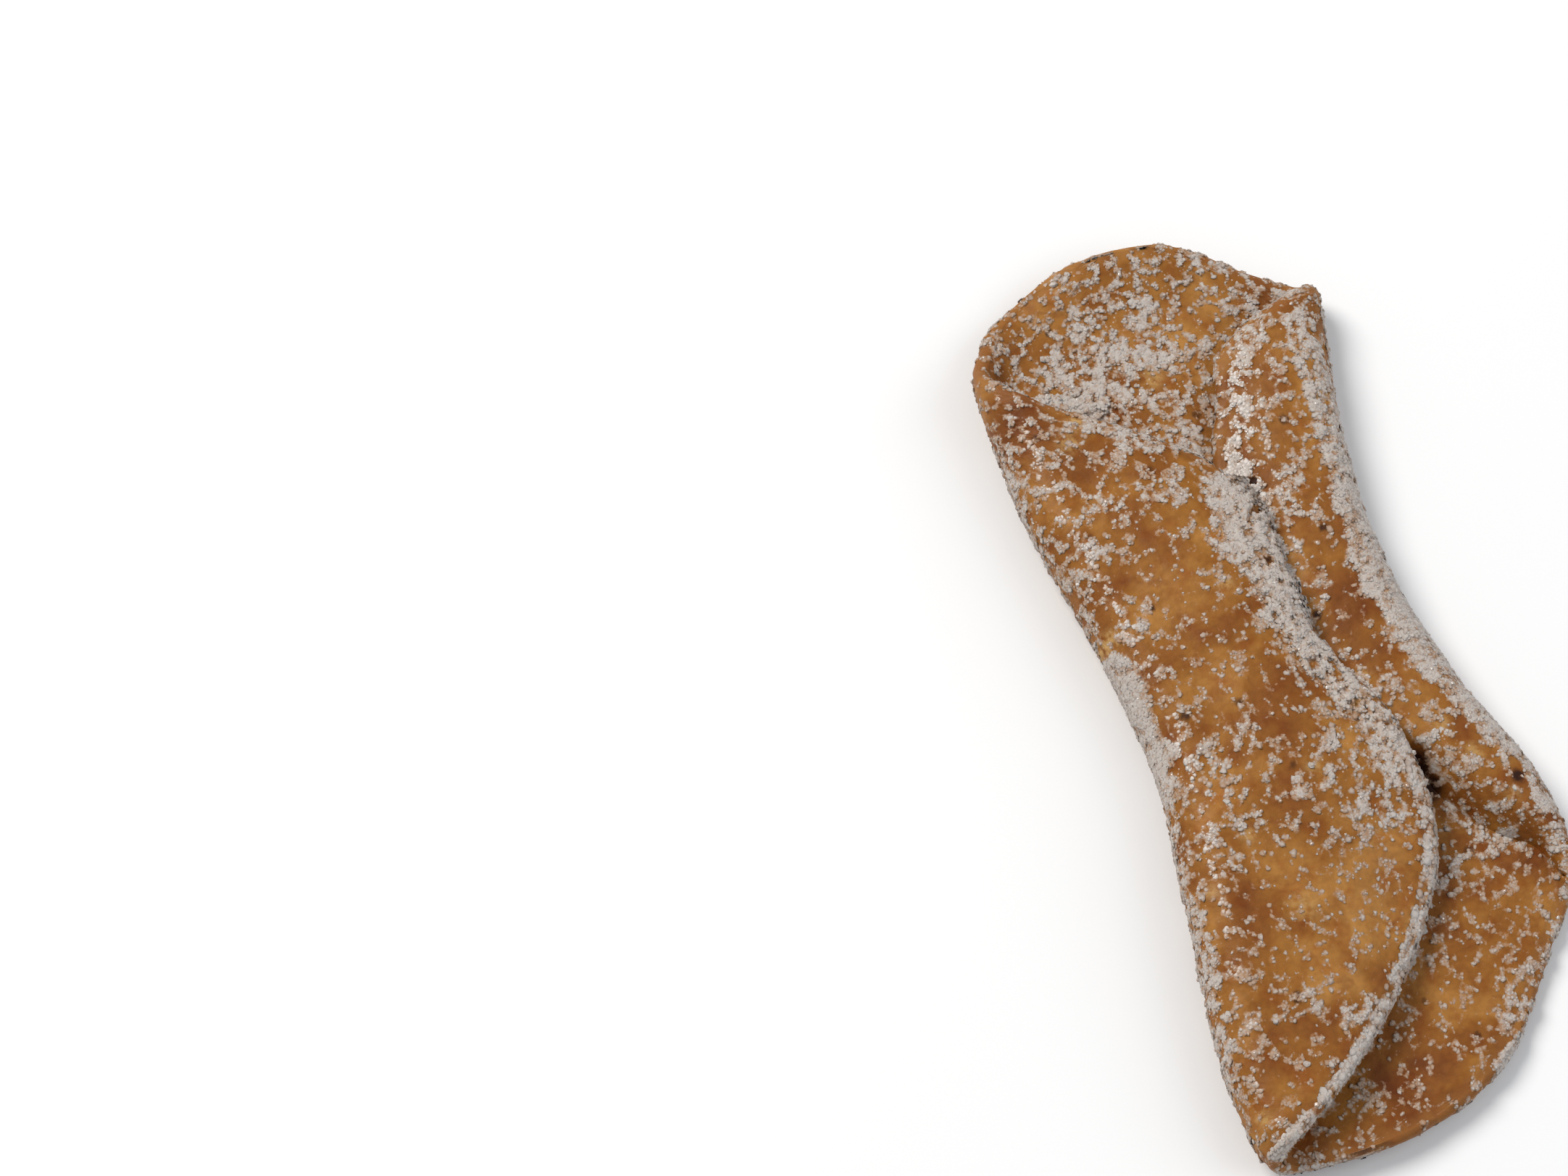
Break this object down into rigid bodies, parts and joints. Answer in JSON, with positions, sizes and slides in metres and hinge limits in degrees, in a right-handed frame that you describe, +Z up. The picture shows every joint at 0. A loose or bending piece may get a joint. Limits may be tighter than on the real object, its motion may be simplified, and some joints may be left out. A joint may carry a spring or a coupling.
{
  "type": "pestino",
  "caption": "A folded pestino: a thin oval of fried dough with both long sides folded in, rolled in coarse sugar, to lay on a plate or tray.",
  "frame": {"origin": "centre of the bounding box in plan, on the surface that the piece lies on", "axes": "+Z up; +Y along the folds towards the deeper open lobe; +X towards the fold that lies underneath"},
  "size_m": [0.0473, 0.1022, 0.0105],
  "materials": {
    "fried_dough": "fried golden-brown dough, satin where bare, crusted with milky sugar grains"
  },
  "bodies": {
    "root": {"pestino": "fried_dough"}
  },
  "joints": []
}
